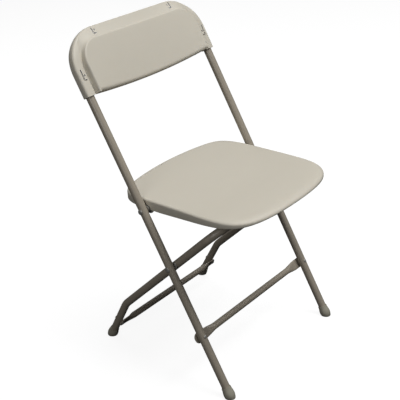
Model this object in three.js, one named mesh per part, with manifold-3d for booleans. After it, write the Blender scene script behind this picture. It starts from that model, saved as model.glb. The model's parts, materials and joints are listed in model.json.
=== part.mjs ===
// Folding chair: an inverted-U steel frame that carries a moulded back, a rear leg frame that
// crosses it, and a moulded seat that folds up between the two long tubes.
// Millimetres, +Z up, the chair faces -Y, its right side is -X. The floor is z = 0.
import * as THREE from 'three';
import { mergeVertices } from 'three/addons/utils/BufferGeometryUtils.js';
import Module from 'manifold-3d';

const wasm = await Module();
wasm.setup();
const RAD = Math.PI / 180;

// ---- driving dimensions ----
const FRONT_FOOT_Y = -187.65;       // front feet, so that the origin is under the middle of the chair
const LEAN = 28;                  // long tubes lean back from vertical, degrees
const TUBE_R = 9.525;             // 3/4 inch leg tube
const TUBE_WALL = 1.2;
const HALF_SPACING = 200;         // long tube axis to the centre plane
const TOP_S = 872;                // top bend, measured up the long tube from the floor
const TOP_BEND_R = 78;
const TUBE_START_S = 14;          // tube ends stand inside the feet

const BRACE_R = 7.95;             // 5/8 inch brace tube
const BRACE_WALL = 1.0;
const BRACE_OFFSET = 12.2;        // brace axis to leg axis
const FRONT_BRACE_S = 153.4;

const CROSS_S = 325.3;            // crossing pivot, up the long tube
const SEAT_PIVOT_S = 467;         // seat pivot, up the long tube

const REAR_LEAN = 46.6;           // upper rear leg from vertical, leaning forward
const SHIN_LEAN = 29.75;          // lower rear leg from vertical
const REAR_HALF_SPACING = 178.5;
const REAR_TOP = 166;             // crossing pivot to the cross tube under the seat
const REAR_BEND = 250;            // crossing pivot down to the leg bend
const REAR_TOP_BEND_R = 45;
const REAR_BEND_R = 60;
const REAR_BRACE_BELOW_BEND = 68.4;

const SEAT_RIM_Z = 434;
const SEAT_HALF_WIDTH = 186;
const SEAT_FRONT = -48;           // from the front feet
const SEAT_REAR = 332;
const SEAT_WALL = 3;
const SEAT_TOP = 3.5;
const SKIRT_REAR = 24;
const SKIRT_FRONT = 14;

const BACK_SLEEVE_R = 14;
const BACK_SLEEVE_END_S = 740;
const PANEL_HALF_WIDTH = 184;
const PANEL_TOP_S = 856;
const PANEL_CORNER_R = 52;
const PANEL_BOTTOM_SIDE_S = 741;
const PANEL_BOTTOM_MID_S = 734;
const PANEL_PROUD_SIDE = 22;      // panel face ahead of the tube plane, at its sides
const PANEL_PROUD_MID = 12;
const PANEL_WALL = 4;

const LINK_X = 112.2;             // inner face of a fold link
const LINK_T = 3;
const LINK_LENGTH = 84.11;        // cross tube axis to link pin
const LINK_PIN_AHEAD = 103.032;   // link pin ahead of the seat pivot
const LINK_PIN_BELOW = 10;        // link pin below the seat pivot
const SEAT_BRACKET_X = 181.2;     // outer face of a seat pivot bracket
const SEAT_SCREW_X = 170;
const SEAT_SCREWS_Y = [-36, -8];  // from the seat pivot
const LINK_SCREW_X = 127;
const LINK_SCREWS_Y = [-LINK_PIN_AHEAD - 16, -LINK_PIN_AHEAD + 16];
const BOSS_DROP = 4;              // screw bosses under the seat
const BRACKET_T = 2;
const GAP = 0.3;                  // between pieces that touch

const FOOT_R = 13.2;
const FOOT_NECK_R = 11.2;
const FOOT_LENGTH = 27;

// ---- materials ----
const plastic = new THREE.MeshStandardMaterial({ color: 0xc9c1b0, roughness: 0.5, metalness: 0 });
const paint = new THREE.MeshStandardMaterial({ color: 0x8c8272, roughness: 0.4, metalness: 0.3 });
const footPlastic = new THREE.MeshStandardMaterial({ color: 0x8f8d7d, roughness: 0.6, metalness: 0 });
const zinc = new THREE.MeshStandardMaterial({ color: 0xa9a9a4, roughness: 0.35, metalness: 0.9 });

const chair = new THREE.Group();
function addMesh(name, geometry, material, frame) {
  const mesh = new THREE.Mesh(geometry, material.clone());
  mesh.name = name;
  frame.add(mesh);
}

// ---- solids: join and cut ----
function toSolid(geometry) {
  const bare = geometry.clone();
  for (const key of ['normal', 'uv']) bare.deleteAttribute(key);
  const merged = mergeVertices(bare, 1e-4);
  const vertProperties = new Float32Array(merged.attributes.position.array);
  const triVerts = new Uint32Array(merged.index.array);
  return new wasm.Manifold(new wasm.Mesh({ numProp: 3, vertProperties, triVerts }));
}
function toGeometry(solid) {
  const mesh = solid.getMesh();
  const geometry = new THREE.BufferGeometry();
  geometry.setAttribute('position', new THREE.BufferAttribute(new Float32Array(mesh.vertProperties), 3));
  geometry.setIndex(new THREE.BufferAttribute(new Uint32Array(mesh.triVerts), 1));
  geometry.computeVertexNormals();
  return geometry;
}
const cut = (base, ...tools) => toGeometry(tools.reduce((s, t) => s.subtract(toSolid(t)), toSolid(base)));
const join = (base, ...others) => toGeometry(others.reduce((s, t) => s.add(toSolid(t)), toSolid(base)));
const common = (a, b) => toGeometry(toSolid(a).intersect(toSolid(b)));

// ---- frames ----
// In the long tube's frame z runs up the tube from the floor and y points behind the chair.
const longFrame = new THREE.Group();
longFrame.position.set(0, FRONT_FOOT_Y, 0);
longFrame.rotation.x = -LEAN * RAD;
// In the rear leg's frame the origin is the crossing pivot and z runs up to the cross tube.
const crossY = FRONT_FOOT_Y + CROSS_S * Math.sin(LEAN * RAD);
const crossZ = CROSS_S * Math.cos(LEAN * RAD);
const rearFrame = new THREE.Group();
rearFrame.position.set(0, crossY, crossZ);
rearFrame.rotation.x = REAR_LEAN * RAD;
// In the seat's frame the origin is the seat pivot and the axes are the chair's own.
const pivotY = FRONT_FOOT_Y + SEAT_PIVOT_S * Math.sin(LEAN * RAD);
const pivotZ = SEAT_PIVOT_S * Math.cos(LEAN * RAD);
const seatFrame = new THREE.Group();
seatFrame.position.set(0, pivotY, pivotZ);
chair.add(longFrame, rearFrame, seatFrame);
for (const frame of [longFrame, rearFrame, seatFrame]) frame.updateMatrix();
const inLong = (geometry) => geometry.applyMatrix4(longFrame.matrix.clone().invert());
const inRear = (geometry) => geometry.applyMatrix4(rearFrame.matrix.clone().invert());

// ---- shapes used again ----
function box(x0, x1, y0, y1, z0, z1) {
  const geometry = new THREE.BoxGeometry(x1 - x0, y1 - y0, z1 - z0);
  return geometry.translate((x0 + x1) / 2, (y0 + y1) / 2, (z0 + z1) / 2);
}
function rodX(radius, x0, x1, y, z, sides = 20) {
  const geometry = new THREE.CylinderGeometry(radius, radius, x1 - x0, sides);
  return geometry.rotateZ(Math.PI / 2).translate((x0 + x1) / 2, y, z);
}
function rodZ(radius, x, y, z0, z1, sides = 16) {
  const geometry = new THREE.CylinderGeometry(radius, radius, z1 - z0, sides);
  return geometry.rotateX(Math.PI / 2).translate(x, y, (z0 + z1) / 2);
}
// A lathe about the x axis: points are [radius, x].
function turnedX(points, y, z, sides = 20) {
  const profile = points.map(([r, x]) => new THREE.Vector2(r, x));
  const geometry = new THREE.LatheGeometry(profile, sides);
  return geometry.rotateZ(-Math.PI / 2).translate(0, y, z);
}
function ringX(rInner, rOuter, x0, x1, y, z, sides = 16) {
  return turnedX([[rInner, x0], [rOuter, x0], [rOuter, x1], [rInner, x1], [rInner, x0]], y, z, sides);
}
// A headed rivet along x from outside (the side of `sign`) to inside.
function rivetX(sign, outside, inside, shankR, headR, y, z) {
  const points = [[0, outside + 2.6], [headR * 0.7, outside + 1.9], [headR, outside],
    [shankR, outside], [shankR, inside], [headR * 0.85, inside],
    [headR * 0.5, inside - 2], [0, inside - 2.2]].reverse();
  const geometry = turnedX(points, y, z, 12);
  return sign > 0 ? geometry : mirrorX(geometry);
}
function mirrorX(geometry) {
  const mirrored = geometry.clone().applyMatrix4(new THREE.Matrix4().makeScale(-1, 1, 1));
  const index = mirrored.index;
  for (let i = 0; i < index.count; i += 3) {
    const first = index.getX(i);
    index.setX(i, index.getX(i + 1));
    index.setX(i + 1, first);
  }
  return mirrored;
}
const bothSides = [['right', -1], ['left', 1]];
function sided(geometry, sign) {
  return sign > 0 ? geometry : mirrorX(geometry.index ? geometry : mergeVertices(geometry));
}

// A path of stations joined by straight runs and arcs, swept without spare stations.
class StationPath extends THREE.Curve {
  constructor(points) {
    super();
    this.points = points;
    this.tangents = points.map((p, i) => {
      const before = points[Math.max(i - 1, 0)];
      const after = points[Math.min(i + 1, points.length - 1)];
      const into = p.clone().sub(before).normalize();
      const out = after.clone().sub(p).normalize();
      return into.add(out).normalize();
    });
  }
  getPoint(t) { return this.points[Math.round(t * (this.points.length - 1))].clone(); }
  getPointAt(t) { return this.getPoint(t); }
  getTangentAt(t) { return this.tangents[Math.round(t * (this.points.length - 1))].clone(); }
  getTangent(t) { return this.getTangentAt(t); }
}
// Corner points with a bend radius each become stations along rounded corners.
function roundedPath(corners, radii, steps) {
  const points = [corners[0].clone()];
  for (let i = 1; i < corners.length - 1; i++) {
    const into = corners[i].clone().sub(corners[i - 1]).normalize();
    const out = corners[i + 1].clone().sub(corners[i]).normalize();
    const turn = into.angleTo(out);
    const back = radii[i - 1] * Math.tan(turn / 2);
    const inward = out.clone().sub(into).normalize();
    const centre = corners[i].clone().addScaledVector(inward, radii[i - 1] / Math.cos(turn / 2));
    const first = corners[i].clone().addScaledVector(into, -back).sub(centre);
    const axis = into.clone().cross(out).normalize();
    for (let k = 0; k <= steps[i - 1]; k++) {
      points.push(first.clone().applyAxisAngle(axis, turn * k / steps[i - 1]).add(centre));
    }
  }
  points.push(corners[corners.length - 1].clone());
  return new StationPath(points);
}
function circleShape(radius, sides, innerRadius = 0, innerSides = sides) {
  const ring = (r, count) => Array.from({ length: count }, (_, i) => {
    const a = 2 * Math.PI * (i + 0.5) / count;
    return new THREE.Vector2(r * Math.cos(a), r * Math.sin(a));
  });
  const shape = new THREE.Shape(ring(radius, sides));
  if (innerRadius > 0) shape.holes.push(new THREE.Path(ring(innerRadius, innerSides).reverse()));
  return shape;
}
function sweep(path, radius, sides, innerRadius, innerSides) {
  return new THREE.ExtrudeGeometry(circleShape(radius, sides, innerRadius, innerSides), {
    extrudePath: path, steps: path.points.length - 1, bevelEnabled: false, curveSegments: 1,
  });
}
const vec = (x, y, z) => new THREE.Vector3(x, y, z);

// ---- long frame: one tube, up one side, across the top and down the other ----
function longPath(startS, bendSteps) {
  return roundedPath(
    [vec(-HALF_SPACING, 0, startS), vec(-HALF_SPACING, 0, TOP_S), vec(HALF_SPACING, 0, TOP_S),
      vec(HALF_SPACING, 0, startS)],
    [TOP_BEND_R, TOP_BEND_R], [bendSteps, bendSteps]);
}
const rivetHole = 3.5;
{
  const tube = sweep(longPath(TUBE_START_S, 6), TUBE_R, 16, TUBE_R - TUBE_WALL, 10);
  const drills = [];
  for (const [, sign] of bothSides) {
    for (const s of [CROSS_S, SEAT_PIVOT_S]) {
      drills.push(rodX(rivetHole, sign * HALF_SPACING - 15, sign * HALF_SPACING + 15, 0, s, 12));
    }
    const brace = box(-rivetHole, rivetHole, -15, 15, -rivetHole, rivetHole);
    drills.push(brace.translate(sign * HALF_SPACING, 0, FRONT_BRACE_S));
  }
  addMesh('long_frame_tube', cut(tube, ...drills), paint, longFrame);
}

// ---- feet: bell-shaped caps with flat soles on the floor ----
function footCap(frame, x, y, lean) {
  const socket = TUBE_R + GAP;
  const profile = [[0, -11], [6.5, -11], [10.2, -5.5], [12.4, 1], [FOOT_R, 6], [FOOT_R, 11], [12.4, 16],
    [FOOT_NECK_R + 0.3, 21], [FOOT_NECK_R, FOOT_LENGTH], [socket, FOOT_LENGTH], [socket, 13], [0, 13]];
  const points = profile.map(([r, z]) => new THREE.Vector2(r, z));
  const bell = new THREE.LatheGeometry(points, 16).rotateX(Math.PI / 2);
  bell.rotateX(lean * RAD).translate(x, y, 0);
  return common(bell, box(x - 40, x + 40, y - 60, y + 60, 0, 80));
}
for (const [side, sign] of bothSides) {
  const cap = footCap(longFrame, sign * HALF_SPACING, FRONT_FOOT_Y, -LEAN);
  addMesh(`front_foot_${side}`, inLong(cap), footPlastic, longFrame);
}

// ---- braces: round tubes whose ends are pressed flat against the legs ----
// The flat runs out to `half`; y is across the flat, z along the leg.
function flatEndedBrace(half, flatFrom, flatTo, sides = 12) {
  const stations = [half, flatTo, (flatFrom + flatTo) / 2, flatFrom];
  const xs = [...stations.map((x) => -x), ...stations.reverse()];
  const path = new StationPath(xs.map((x) => vec(x, 0, 0)));
  const geometry = sweep(path, BRACE_R, sides, BRACE_R - BRACE_WALL, sides);
  const position = geometry.attributes.position;
  for (let i = 0; i < position.count; i++) {
    const [x, y, z] = [position.getX(i), position.getY(i), position.getZ(i)];
    const t = THREE.MathUtils.smoothstep(Math.abs(x), flatFrom, flatTo);
    const outer = Math.hypot(y, z) > BRACE_R - BRACE_WALL / 2 + 1e-3;
    const squashed = outer ? 2.1 / BRACE_R : 0.5 / (BRACE_R - BRACE_WALL);
    const widened = outer ? 12.4 / BRACE_R : 10.6 / (BRACE_R - BRACE_WALL);
    position.setY(i, y * THREE.MathUtils.lerp(1, squashed, t));
    position.setZ(i, z * THREE.MathUtils.lerp(1, widened, t));
  }
  return geometry;
}
// A rivet along y that holds a flattened end to a leg: its head is on the brace's side.
function braceRivet(sign, behind) {
  const reach = TUBE_R + GAP;
  const flat = BRACE_OFFSET + 2.1 + GAP;
  const points = [[0, -reach - 2], [3.4, -reach - 1.5], [5, -reach], [2.8, -reach],
    [2.8, flat], [5, flat], [3.4, flat + 1.6], [0, flat + 2.1]];
  const geometry = new THREE.LatheGeometry(points.map(([r, y]) => new THREE.Vector2(r, y)), 12);
  return behind ? geometry : geometry.rotateX(Math.PI);
}
const braceDrill = (x) => box(x - 3.3, x + 3.3, -30, 30, -3.3, 3.3);
{
  const half = 212;
  const brace = cut(flatEndedBrace(half, 158, 180),
    braceDrill(-HALF_SPACING), braceDrill(HALF_SPACING));
  addMesh('front_brace', brace.translate(0, BRACE_OFFSET, FRONT_BRACE_S), paint, longFrame);
  for (const [side, sign] of bothSides) {
    const rivet = braceRivet(sign, true).translate(sign * HALF_SPACING, 0, FRONT_BRACE_S);
    addMesh(`front_brace_rivet_${side}`, rivet, zinc, longFrame);
  }
}

// ---- moulded back: sleeves over the tube's top bend and a proud, hollowed panel between them ----
// The panel's outline, moved in by `inset` at the sides and the top, and down by `drop` at the bottom.
function panelOutline(inset, drop) {
  const half = PANEL_HALF_WIDTH - inset;
  const radius = PANEL_CORNER_R - inset;
  const cornerX = half - radius;
  const cornerS = PANEL_TOP_S - PANEL_CORNER_R;
  const bottomS = (x) => PANEL_BOTTOM_MID_S - drop
    + (PANEL_BOTTOM_SIDE_S - PANEL_BOTTOM_MID_S) * (x / PANEL_HALF_WIDTH) ** 2;
  const outline = new THREE.Shape();
  const spans = 10;
  for (let i = 0; i <= spans; i++) {
    const x = half * (2 * i / spans - 1);
    if (i === 0) outline.moveTo(x, bottomS(x));
    else outline.lineTo(x, bottomS(x));
  }
  outline.lineTo(half, cornerS);
  outline.absarc(cornerX, cornerS, radius, 0, Math.PI / 2);
  outline.absarc(-cornerX, cornerS, radius, Math.PI / 2, Math.PI);
  outline.closePath();
  return outline;
}
// An outline in x and s made solid from y = y0 (ahead) to y = y1 (behind).
function slab(outline, y0, y1, curveSegments) {
  const geometry = new THREE.ExtrudeGeometry(outline,
    { depth: y1 - y0, bevelEnabled: false, curveSegments });
  return geometry.rotateX(Math.PI / 2).translate(0, y1, 0);
}
{
  const behind = 5;
  const sag = PANEL_PROUD_SIDE - PANEL_PROUD_MID;
  const curveR = (PANEL_HALF_WIDTH ** 2 + sag ** 2) / (2 * sag);
  const curveY = -PANEL_PROUD_MID - curveR;
  const hollow = rodZ(curveR, 0, curveY, 690, 900, 128);
  const skinBack = rodZ(curveR + PANEL_WALL, 0, curveY, 690, 900, 128);
  const block = slab(panelOutline(0, 0), -PANEL_PROUD_SIDE, behind, 6);
  const inside = slab(panelOutline(PANEL_WALL, 20), -PANEL_PROUD_SIDE - 5, behind + 5, 6);
  const proud = toSolid(block).subtract(toSolid(hollow));
  const wall = proud.subtract(toSolid(inside));
  const skin = proud.intersect(toSolid(skinBack));
  // A flat land joins the panel's wall to the sleeves around it.
  const land = new THREE.Shape();
  const landX = HALF_SPACING - 5;
  const landS = TOP_S - 5;
  const landR = TOP_BEND_R - 5;
  land.moveTo(-landX, 752);
  land.lineTo(-PANEL_HALF_WIDTH + 2, 752);
  land.lineTo(-PANEL_HALF_WIDTH + 2, PANEL_TOP_S - PANEL_CORNER_R);
  land.absarc(-PANEL_HALF_WIDTH + PANEL_CORNER_R, PANEL_TOP_S - PANEL_CORNER_R, PANEL_CORNER_R - 2,
    Math.PI, Math.PI / 2, true);
  land.absarc(PANEL_HALF_WIDTH - PANEL_CORNER_R, PANEL_TOP_S - PANEL_CORNER_R, PANEL_CORNER_R - 2,
    Math.PI / 2, 0, true);
  land.lineTo(PANEL_HALF_WIDTH - 2, 752);
  land.lineTo(landX, 752);
  land.lineTo(landX, landS - landR);
  land.absarc(landX - landR, landS - landR, landR, 0, Math.PI / 2);
  land.absarc(-landX + landR, landS - landR, landR, Math.PI / 2, Math.PI);
  land.closePath();
  const sleeve = toSolid(sweep(longPath(BACK_SLEEVE_END_S, 6), BACK_SLEEVE_R, 16));
  const channel = toSolid(sweep(longPath(600, 6), TUBE_R + GAP, 16));
  const back = sleeve.add(toSolid(slab(land, -3.7, 0.9, 6))).add(wall).add(skin).subtract(channel);
  addMesh('backrest', toGeometry(back), plastic, longFrame);
}

// ---- pivots on the long frame: rivets and spacers ----
for (const [side, sign] of bothSides) {
  const outside = HALF_SPACING + TUBE_R + GAP;
  const inner = HALF_SPACING - TUBE_R - GAP;
  const crossInside = REAR_HALF_SPACING - TUBE_R - GAP;
  const bracketInside = SEAT_BRACKET_X - BRACKET_T - GAP;
  addMesh(`crossing_rivet_${side}`, rivetX(sign, outside, crossInside, 3.1, 6.5, 0, CROSS_S), zinc, longFrame);
  const spacer = ringX(3.5, 12.5, REAR_HALF_SPACING + TUBE_R + GAP, inner, 0, CROSS_S);
  addMesh(`crossing_spacer_${side}`, sided(spacer, sign), zinc, longFrame);
  addMesh(`seat_pivot_rivet_${side}`, rivetX(sign, outside, bracketInside, 3.1, 6.5, 0, SEAT_PIVOT_S), zinc, longFrame);
  const bush = ringX(3.5, 7, SEAT_BRACKET_X + GAP, inner, 0, SEAT_PIVOT_S, 20);
  addMesh(`seat_pivot_bush_${side}`, sided(bush, sign), zinc, longFrame);
}

// ---- rear leg frame: one tube, with its cross tube under the front of the seat ----
const shinTurn = (REAR_LEAN - SHIN_LEAN) * RAD;
const bendHeight = crossZ - REAR_BEND * Math.cos(REAR_LEAN * RAD);
const shinLength = bendHeight / Math.cos(SHIN_LEAN * RAD);
// Down the shin from the bend, in the rear leg's frame (y behind the upper leg, z up it).
const onShin = (length) => [-length * Math.sin(shinTurn), -REAR_BEND - length * Math.cos(shinTurn)];
{
  const [endY, endZ] = onShin(shinLength - TUBE_START_S);
  const w = REAR_HALF_SPACING;
  const path = roundedPath(
    [vec(-w, endY, endZ), vec(-w, 0, -REAR_BEND), vec(-w, 0, REAR_TOP), vec(w, 0, REAR_TOP),
      vec(w, 0, -REAR_BEND), vec(w, endY, endZ)],
    [REAR_BEND_R, REAR_TOP_BEND_R, REAR_TOP_BEND_R, REAR_BEND_R], [2, 5, 5, 2]);
  const tube = sweep(path, TUBE_R, 16, TUBE_R - TUBE_WALL, 10);
  const drills = [];
  const [braceY, braceZ] = onShin(REAR_BRACE_BELOW_BEND);
  for (const [, sign] of bothSides) {
    drills.push(rodX(rivetHole, sign * w - 15, sign * w + 15, 0, 0, 12));
    const drill = box(-3.3, 3.3, -30, 30, -3.3, 3.3).rotateX(-shinTurn);
    drills.push(drill.translate(sign * w, braceY, braceZ));
  }
  addMesh('rear_leg_tube', cut(tube, ...drills), paint, rearFrame);

  const half = w + 9.5;
  const brace = cut(flatEndedBrace(half, 138, 160), braceDrill(-w), braceDrill(w));
  brace.translate(0, -BRACE_OFFSET, 0).rotateX(-shinTurn).translate(0, braceY, braceZ);
  addMesh('rear_brace', brace, paint, rearFrame);
  for (const [side, sign] of bothSides) {
    const rivet = braceRivet(sign, false).rotateX(-shinTurn).translate(sign * w, braceY, braceZ);
    addMesh(`rear_brace_rivet_${side}`, rivet, zinc, rearFrame);
  }
  const footY = crossY + REAR_BEND * Math.sin(REAR_LEAN * RAD) + shinLength * Math.sin(SHIN_LEAN * RAD);
  for (const [side, sign] of bothSides) {
    const cap = footCap(rearFrame, sign * w, footY, SHIN_LEAN);
    addMesh(`rear_foot_${side}`, inRear(cap), footPlastic, rearFrame);
  }
}

// ---- fold links: they tie the cross tube to the seat and pull the seat up as the legs close ----
const crossTubeY = -REAR_TOP * Math.sin(REAR_LEAN * RAD) + crossY;
const crossTubeZ = REAR_TOP * Math.cos(REAR_LEAN * RAD) + crossZ;
const linkPinY = pivotY - LINK_PIN_AHEAD;
const linkPinZ = pivotZ - LINK_PIN_BELOW;
{
  const rise = Math.atan2(linkPinZ - crossTubeZ, linkPinY - crossTubeY);
  const shape = new THREE.Shape();
  shape.absarc(0, 0, 13.5, 0.42, 2 * Math.PI - 0.42, false);
  shape.absarc(LINK_LENGTH, 0, 5.5, -Math.PI / 2, Math.PI / 2, false);
  shape.closePath();
  const eye = new THREE.Path();
  eye.absarc(0, 0, TUBE_R + 0.35, 0, 2 * Math.PI, true);
  shape.holes.push(eye);
  const link = new THREE.ExtrudeGeometry(shape, { depth: LINK_T, bevelEnabled: false, curveSegments: 9 });
  // The outline's x runs along the chair's y and its y along z.
  link.applyMatrix4(new THREE.Matrix4().makeBasis(vec(0, 1, 0), vec(0, 0, 1), vec(1, 0, 0)));
  link.rotateX(rise).translate(LINK_X, crossTubeY, crossTubeZ);
  for (const [side, sign] of bothSides) {
    addMesh(`fold_link_${side}`, inRear(sided(link.clone(), sign)), zinc, rearFrame);
  }
}

// ---- seat: a moulded shell with a turned-down skirt, ribs and bosses ----
const seatY0 = SEAT_FRONT + FRONT_FOOT_Y - pivotY;
const seatY1 = SEAT_REAR + FRONT_FOOT_Y - pivotY;
const seatTop = SEAT_RIM_Z - pivotZ;
const underside = seatTop - SEAT_TOP;
// The seat's plan: nearly parallel sides, a bowed rear edge and a flatter front edge.
function seatPlan(inset) {
  const w = SEAT_HALF_WIDTH - inset;
  const front = seatY0 + inset;
  const rear = seatY1 - inset;
  const shape = new THREE.Shape();
  shape.moveTo(0, front);
  shape.bezierCurveTo(w * 0.5, front, w * 0.8, front + 10, w * 0.92, front + 46);
  shape.bezierCurveTo(w * 0.99, front + 68, w, front + 95, w, front + 140);
  shape.lineTo(w, rear - 118);
  shape.bezierCurveTo(w, rear - 62, w * 0.965, rear - 29, w * 0.7, rear - 16.5);
  shape.bezierCurveTo(w * 0.5, rear - 6, w * 0.22, rear, 0, rear);
  shape.bezierCurveTo(-w * 0.22, rear, -w * 0.5, rear - 6, -w * 0.7, rear - 16.5);
  shape.bezierCurveTo(-w * 0.965, rear - 29, -w, rear - 62, -w, rear - 118);
  shape.lineTo(-w, front + 140);
  shape.bezierCurveTo(-w, front + 95, -w * 0.99, front + 68, -w * 0.92, front + 46);
  shape.bezierCurveTo(-w * 0.8, front + 10, -w * 0.5, front, 0, front);
  return shape;
}
{
  const edge = 5;
  const outer = new THREE.ExtrudeGeometry(seatPlan(edge), {
    depth: SKIRT_REAR + 10, steps: 1, curveSegments: 8,
    bevelEnabled: true, bevelThickness: edge, bevelSize: edge, bevelSegments: 3,
  });
  outer.translate(0, 0, seatTop - edge - SKIRT_REAR - 10);
  const inner = new THREE.ExtrudeGeometry(seatPlan(SEAT_WALL),
    { depth: 80, bevelEnabled: false, curveSegments: 8 }).translate(0, 0, underside - 80);
  // The skirt is shallower at the front, so its lower edge climbs forward.
  const length = seatY1 - seatY0;
  const slope = Math.atan2(SKIRT_REAR - SKIRT_FRONT, length * 0.6);
  const below = box(-300, 300, -400, 400, -200, 0);
  below.rotateX(-slope).translate(0, seatY1 - length * 0.4, seatTop - SKIRT_REAR);
  const flatBelow = box(-300, 300, -400, 400, -200, seatTop - SKIRT_REAR);
  let shell = toSolid(outer).subtract(toSolid(inner));
  shell = shell.subtract(toSolid(below)).subtract(toSolid(flatBelow));
  const ribs = [];
  const ribZ = underside + 1;
  for (const x of [-138, -46, 46, 138]) {
    ribs.push(box(x - 1.5, x + 1.5, seatY0 + 40, seatY1 - 60, underside - 8, ribZ));
  }
  const tubeY = crossTubeY - pivotY;
  const tubeTop = crossTubeZ - pivotZ + TUBE_R + 0.4;
  for (const x of [-75, 75]) {
    ribs.push(box(x - 10, x + 10, tubeY - 12, tubeY + 12, tubeTop, ribZ));
  }
  for (const rib of ribs) shell = shell.add(toSolid(rib));
  for (const [, sign] of bothSides) {
    // A notch in the skirt lets the pivot bush through.
    const notch = join(rodX(8.5, 179, 190, 0, 0, 20), box(179, 190, -8.5, 8.5, -40, 0));
    shell = shell.subtract(toSolid(sided(notch, sign)));
    const bosses = [...SEAT_SCREWS_Y.map((y) => [SEAT_SCREW_X, y]), ...LINK_SCREWS_Y.map((y) => [LINK_SCREW_X, y])];
    for (const [x, y] of bosses) {
      shell = shell.add(toSolid(rodZ(6, sign * x, y, underside - BOSS_DROP, ribZ, 12)));
      shell = shell.subtract(toSolid(rodZ(2, sign * x, y, underside - BOSS_DROP - 1, underside + 0.6, 8)));
    }
  }
  addMesh('seat_shell', toGeometry(shell), plastic, seatFrame);
}

// ---- seat brackets: steel angles screwed to bosses under the seat ----
// A flange hangs at x = `face` and a shelf reaches from it towards `shelfTo` under the bosses.
function angleBracket({ face, shelfTo, y0, y1, dropZ, pin, lugR, holeR }) {
  const top = underside - BOSS_DROP - GAP;
  const inward = Math.sign(shelfTo - face);
  const [x0, x1] = inward < 0 ? [face - BRACKET_T, face] : [face, face + BRACKET_T];
  const [s0, s1] = inward < 0 ? [shelfTo, face] : [face, shelfTo];
  const flange = join(box(x0, x1, y0, y1, dropZ, top), rodX(lugR, x0, x1, pin[0], pin[1], 16),
    box(s0, s1, y0, y1, top - BRACKET_T, top));
  return cut(flange, rodX(holeR, x0 - 5, x1 + 5, pin[0], pin[1], 12));
}
function screwZ(x, y) {
  const head = underside - BOSS_DROP - BRACKET_T - 2 * GAP;
  const points = [[0, head - 2.2], [2.4, head - 2], [4, head - 0.9], [4, head], [1.7, head],
    [1.7, head + 5.6], [0, head + 6.3]];
  const geometry = new THREE.LatheGeometry(points.map(([r, z]) => new THREE.Vector2(r, z)), 12);
  return geometry.rotateX(Math.PI / 2).translate(x, y, 0);
}
const seatBracket = angleBracket({
  face: SEAT_BRACKET_X, shelfTo: SEAT_SCREW_X - 8, y0: SEAT_SCREWS_Y[0] - 9, y1: 12, dropZ: -2,
  pin: [0, 0], lugR: 13.5, holeR: 3.5,
});
const linkBracket = angleBracket({
  face: LINK_X + LINK_T + GAP, shelfTo: LINK_SCREW_X + 8, y0: LINK_SCREWS_Y[0] - 9, y1: LINK_SCREWS_Y[1] + 9,
  dropZ: -9, pin: [-LINK_PIN_AHEAD, -LINK_PIN_BELOW], lugR: 7, holeR: 2.9,
});
for (const [side, sign] of bothSides) {
  const brackets = [['seat_bracket', seatBracket, SEAT_SCREW_X, SEAT_SCREWS_Y],
    ['link_bracket', linkBracket, LINK_SCREW_X, LINK_SCREWS_Y]];
  for (const [name, bracket, screwX, screwYs] of brackets) {
    const holes = screwYs.map((y) => rodZ(2, screwX, y, 0, 30, 10));
    addMesh(`${name}_${side}`, sided(cut(bracket, ...holes), sign), zinc, seatFrame);
    for (const [i, end] of ['front', 'rear'].entries()) {
      addMesh(`${name}_screw_${side}_${end}`, screwZ(sign * screwX, screwYs[i]), zinc, seatFrame);
    }
  }
  // The pin stands in the bracket and stops just short of the link.
  const pinX = LINK_X + LINK_T + GAP;
  const points = [[0, pinX], [2.5, pinX], [2.5, pinX + 2 + GAP], [4.6, pinX + 2 + GAP], [4.6, pinX + 3.2],
    [3, pinX + 4.4], [0, pinX + 4.8]];
  const pin = turnedX(points, -LINK_PIN_AHEAD, -LINK_PIN_BELOW, 12);
  addMesh(`link_pin_${side}`, sided(pin, sign), zinc, seatFrame);
}

export default chair;
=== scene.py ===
# A folding chair of painted steel tube with a moulded plastic seat and back, standing open on a pale floor.
# The file follows the chair as it is put together: long tube, rear legs, braces, feet, back, seat, pivots and
# fold links.
# Sizes are in millimetres until a piece becomes a mesh, which is in metres.
import json
import math

import bmesh
import bpy
import numpy as np
from mathutils import Matrix, Vector


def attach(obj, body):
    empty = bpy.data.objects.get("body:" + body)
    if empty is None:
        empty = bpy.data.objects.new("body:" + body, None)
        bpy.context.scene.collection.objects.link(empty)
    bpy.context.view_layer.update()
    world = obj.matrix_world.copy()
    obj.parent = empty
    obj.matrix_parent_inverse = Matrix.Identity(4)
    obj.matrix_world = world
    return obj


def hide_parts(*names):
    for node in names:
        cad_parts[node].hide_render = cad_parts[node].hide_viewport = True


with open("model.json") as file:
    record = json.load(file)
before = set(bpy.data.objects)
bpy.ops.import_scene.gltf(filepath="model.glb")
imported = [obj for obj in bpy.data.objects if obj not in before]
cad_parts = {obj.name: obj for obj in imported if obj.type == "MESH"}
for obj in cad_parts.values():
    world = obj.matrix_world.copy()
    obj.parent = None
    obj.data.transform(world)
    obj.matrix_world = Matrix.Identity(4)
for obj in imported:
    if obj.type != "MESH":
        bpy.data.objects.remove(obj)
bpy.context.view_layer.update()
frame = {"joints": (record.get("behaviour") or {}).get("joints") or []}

# ---- long tube ----
# One 3/4 inch steel tube bent to a tall U and set upside down: it is both front legs and both uprights of the
# back. It leans back 28 degrees and is painted warm grey all over.
TUBE_R = 9.525
HALF_SPACING = 200.0     # tube axis to the middle of the chair
TOP_S = 872.0            # axis of the top run, measured up the tube from the floor
TOP_BEND_R = 78.0
TUBE_START_S = 14.0      # the tube ends inside its foot caps
LEAN = math.radians(28)
CROSSING_S = 325.3       # crossing pivot, up the tube
joint_at = {joint["name"]: 1000 * np.array(joint["pos_m"]) for joint in frame["joints"]}
crossing = joint_at["rear_leg_fold"]
seat_pivot = joint_at["seat_fold"]
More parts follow.
